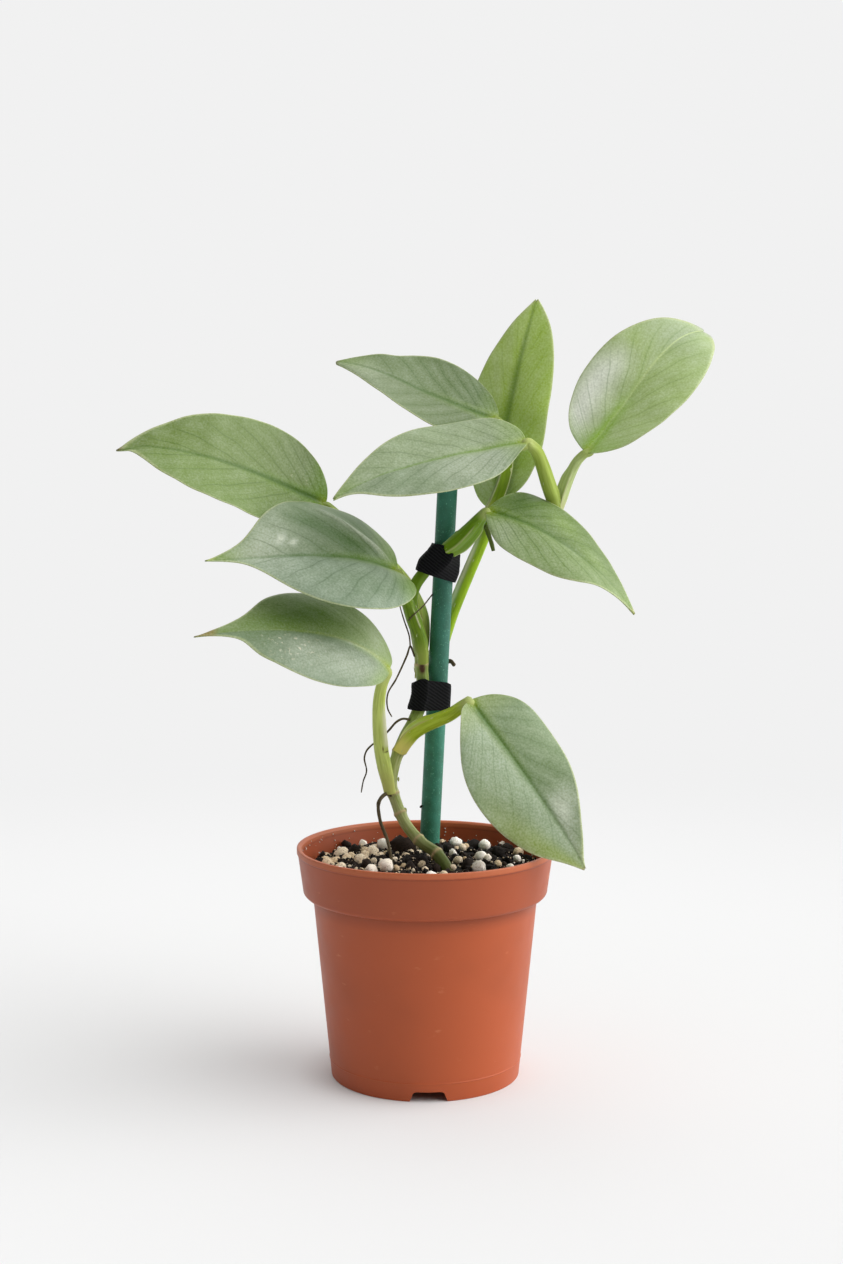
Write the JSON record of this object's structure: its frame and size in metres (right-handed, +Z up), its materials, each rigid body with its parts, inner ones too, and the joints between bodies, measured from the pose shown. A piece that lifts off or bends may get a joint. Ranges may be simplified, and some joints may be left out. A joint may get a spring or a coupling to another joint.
{
  "type": "potted plant",
  "caption": "Climbing philodendron with long arrow-shaped leaves on leaf stalks, tied to a plastic-coated stake in a round nursery pot of soil.",
  "frame": {"origin": "centre of the pot's foot, on the plane that the pot stands on", "axes": "+Z up along the pot's axis, +X to the right of the viewer who sees the upper faces of the leaves, +Y away from that viewer"},
  "size_m": [0.2781, 0.12, 0.3641],
  "materials": {
    "pot": "satin terracotta polypropylene",
    "soil": null,
    "stake_plastic": "finely stippled deep green plastic",
    "stake_steel": "bare steel tube inside the coat",
    "tie": "black hook-and-loop fabric",
    "stem": null,
    "petiole": null,
    "aerial_root": null,
    "blade_silver": null,
    "blade_green": null
  },
  "bodies": {
    "root": {"pot": "pot", "soil": "soil", "stake_coat": "stake_plastic", "stake_tube": "stake_steel", "stake_point": "stake_plastic", "stake_cap": "stake_plastic", "stem": "stem", "tie_lower": "tie", "tie_upper": "tie", "petiole_1": "petiole", "petiole_2": "petiole", "petiole_3": "petiole", "petiole_4": "petiole", "petiole_5": "petiole", "petiole_6": "petiole", "petiole_7": "petiole", "petiole_8": "petiole", "petiole_9": "petiole", "aerial_root_soil": "aerial_root", "aerial_root_left": "aerial_root", "aerial_root_middle": "aerial_root", "aerial_root_behind": "aerial_root", "blade_1": "blade_green", "blade_2": "blade_silver", "blade_3": "blade_silver", "blade_4": "blade_silver", "blade_5": "blade_silver", "blade_6": "blade_green", "blade_7": "blade_silver", "blade_8": "blade_silver", "blade_9": "blade_silver"}
  },
  "joints": []
}
